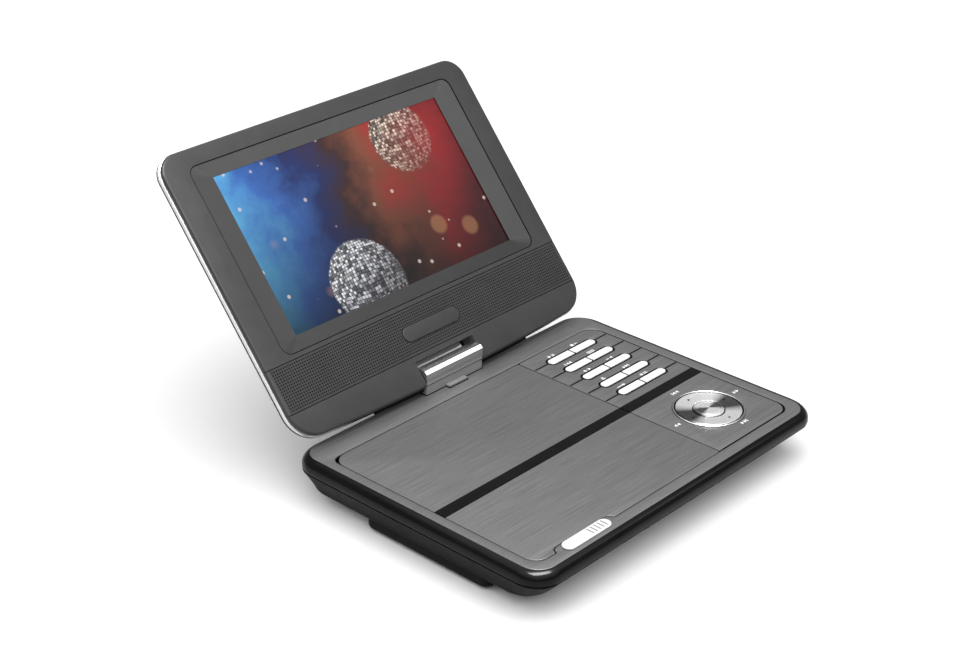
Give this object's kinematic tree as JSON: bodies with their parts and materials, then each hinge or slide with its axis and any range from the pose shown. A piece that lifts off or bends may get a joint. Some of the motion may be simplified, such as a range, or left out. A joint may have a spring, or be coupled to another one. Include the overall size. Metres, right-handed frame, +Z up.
{
  "type": "portable dvd player",
  "caption": "Portable disc player with a brushed flip-up disc door, key panel and ring control, and a tilting, swivelling widescreen lid.",
  "frame": {"origin": "middle of the open player's bounding box, on the table", "axes": "+X to the user's right, +Y from the front edge towards the screen hinge, +Z up"},
  "size_m": [0.2124, 0.2535, 0.1489],
  "materials": {
    "brushed_grey": "brushed across the width",
    "gloss_black": "high gloss",
    "satin_black": "satin",
    "bezel_grey": "fine satin",
    "white_plastic": "gloss",
    "chrome_trim": "polished",
    "spun_metal": "spun in circles",
    "hinge_grey": "satin metallic",
    "plain_steel": "ground",
    "circuit_board": "solder mask",
    "rubber_pad": "matt",
    "cell_wrap": "shrink wrap",
    "screen_glass": "display sheet"
  },
  "bodies": {
    "base": {"bottom_case": "satin_black", "top_case": "gloss_black", "deck_plate": "brushed_grey", "foot_1": "rubber_pad", "foot_2": "rubber_pad", "foot_3": "rubber_pad", "foot_4": "rubber_pad", "case_screw_1": "plain_steel", "case_screw_2": "plain_steel", "case_screw_3": "plain_steel", "case_screw_4": "plain_steel", "battery_cover": "satin_black", "battery_pack": "cell_wrap", "control_panel": "brushed_grey", "panel_stripe": "gloss_black", "nav_rim": "chrome_trim", "disc_well": "satin_black", "main_board": "circuit_board", "key_board": "circuit_board", "drive_chassis": "satin_black", "spindle_motor": "plain_steel", "guide_rod_1": "plain_steel", "guide_rod_2": "plain_steel", "sled_motor": "plain_steel", "dc_jack": "satin_black", "av_jack": "satin_black", "phones_jack": "satin_black"},
    "slider": {"open_slider": "white_plastic"},
    "door": {"door_shell": "satin_black", "door_skin": "brushed_grey", "door_stripe": "gloss_black"},
    "key_1_left_body": {"key_1_left": "white_plastic"},
    "key_1_right_body": {"key_1_right": "white_plastic"},
    "key_2_left_body": {"key_2_left": "white_plastic"},
    "key_2_right_body": {"key_2_right": "white_plastic"},
    "key_3_left_body": {"key_3_left": "white_plastic"},
    "key_3_right_body": {"key_3_right": "white_plastic"},
    "key_4_left_body": {"key_4_left": "white_plastic"},
    "key_4_right_body": {"key_4_right": "white_plastic"},
    "key_5_left_body": {"key_5_left": "white_plastic"},
    "key_5_right_body": {"key_5_right": "white_plastic"},
    "nav_carrier_body": {"nav_carrier": "satin_black"},
    "nav_ring_body": {"nav_ring": "spun_metal"},
    "ok_body": {"ok_button": "spun_metal"},
    "spindle": {"turntable": "satin_black"},
    "sled": {"pickup_sled": "satin_black"},
    "screw": {"lead_screw": "plain_steel"},
    "switch": {"power_switch": "satin_black"},
    "swivel": {"swivel_base": "hinge_grey", "swivel_cover": "hinge_grey", "tilt_shaft": "plain_steel"},
    "screen": {"screen_bezel": "bezel_grey", "speaker_grille": "bezel_grey", "side_band": "chrome_trim", "back_cover": "gloss_black", "lcd_panel": "screen_glass", "screen_board": "circuit_board", "speaker_left": "satin_black", "speaker_right": "satin_black", "badge_plate": "bezel_grey"}
  },
  "joints": [
    {"name": "screen_swivel", "type": "hinge", "parent": "base", "child": "swivel", "pos_m": [0, 0.02725, 0.026], "axis": [0, 0, 1], "range_deg": [-180, 0]},
    {"name": "screen_tilt", "type": "hinge", "parent": "swivel", "child": "screen", "pos_m": [0, 0.02669, 0.03035], "axis": [-1, 0, 0], "range_deg": [-130, 8]},
    {"name": "disc_door_hinge", "type": "hinge", "parent": "base", "child": "door", "pos_m": [0, 0.00995, 0.023], "axis": [-1, 0, 0], "range_deg": [0, 65]},
    {"name": "open_slide", "type": "slide", "parent": "base", "child": "slider", "axis": [1, 0, 0], "range_m": [0, 0.003], "stiffness_N_per_m": 250, "springref_m": -0.001},
    {"name": "key_1_left_press", "type": "slide", "parent": "base", "child": "key_1_left_body", "axis": [0, 0, -1], "range_m": [0, 0.0006], "stiffness_N_per_m": 600, "springref_m": -0.0002},
    {"name": "key_1_right_press", "type": "slide", "parent": "base", "child": "key_1_right_body", "axis": [0, 0, -1], "range_m": [0, 0.0006], "stiffness_N_per_m": 600, "springref_m": -0.0002},
    {"name": "key_2_left_press", "type": "slide", "parent": "base", "child": "key_2_left_body", "axis": [0, 0, -1], "range_m": [0, 0.0006], "stiffness_N_per_m": 600, "springref_m": -0.0002},
    {"name": "key_2_right_press", "type": "slide", "parent": "base", "child": "key_2_right_body", "axis": [0, 0, -1], "range_m": [0, 0.0006], "stiffness_N_per_m": 600, "springref_m": -0.0002},
    {"name": "key_3_left_press", "type": "slide", "parent": "base", "child": "key_3_left_body", "axis": [0, 0, -1], "range_m": [0, 0.0006], "stiffness_N_per_m": 600, "springref_m": -0.0002},
    {"name": "key_3_right_press", "type": "slide", "parent": "base", "child": "key_3_right_body", "axis": [0, 0, -1], "range_m": [0, 0.0006], "stiffness_N_per_m": 600, "springref_m": -0.0002},
    {"name": "key_4_left_press", "type": "slide", "parent": "base", "child": "key_4_left_body", "axis": [0, 0, -1], "range_m": [0, 0.0006], "stiffness_N_per_m": 600, "springref_m": -0.0002},
    {"name": "key_4_right_press", "type": "slide", "parent": "base", "child": "key_4_right_body", "axis": [0, 0, -1], "range_m": [0, 0.0006], "stiffness_N_per_m": 600, "springref_m": -0.0002},
    {"name": "key_5_left_press", "type": "slide", "parent": "base", "child": "key_5_left_body", "axis": [0, 0, -1], "range_m": [0, 0.0006], "stiffness_N_per_m": 600, "springref_m": -0.0002},
    {"name": "key_5_right_press", "type": "slide", "parent": "base", "child": "key_5_right_body", "axis": [0, 0, -1], "range_m": [0, 0.0006], "stiffness_N_per_m": 600, "springref_m": -0.0002},
    {"name": "nav_rock_x", "type": "hinge", "parent": "base", "child": "nav_carrier_body", "pos_m": [0.066, -0.08775, 0.022], "axis": [0, 1, 0], "range_deg": [-1.2, 1.2], "stiffness_Nm_per_rad": 0.5},
    {"name": "nav_rock_y", "type": "hinge", "parent": "nav_carrier_body", "child": "nav_ring_body", "pos_m": [0.066, -0.08775, 0.022], "axis": [1, 0, 0], "range_deg": [-1.2, 1.2], "stiffness_Nm_per_rad": 0.5},
    {"name": "ok_press", "type": "slide", "parent": "base", "child": "ok_body", "axis": [0, 0, -1], "range_m": [0, 0.0006], "stiffness_N_per_m": 600, "springref_m": -0.0002},
    {"name": "disc_spin", "type": "hinge", "parent": "base", "child": "spindle", "pos_m": [-0.0301, -0.05215, 0.016], "axis": [0, 0, 1], "continuous": true},
    {"name": "sled_slide", "type": "slide", "parent": "base", "child": "sled", "axis": [1, 0, 0], "range_m": [0, 0.036]},
    {"name": "screw_turn", "type": "hinge", "parent": "base", "child": "screw", "pos_m": [0, -0.03315, 0.012], "axis": [1, 0, 0], "range_deg": [-10, 2190]},
    {"name": "power_slide", "type": "slide", "parent": "base", "child": "switch", "axis": [0, 1, 0], "range_m": [0, 0.003]}
  ],
  "couplings": [
    {"joint": "screw_turn", "follows": "sled_slide", "rad_per_m": 1047.2}
  ]
}
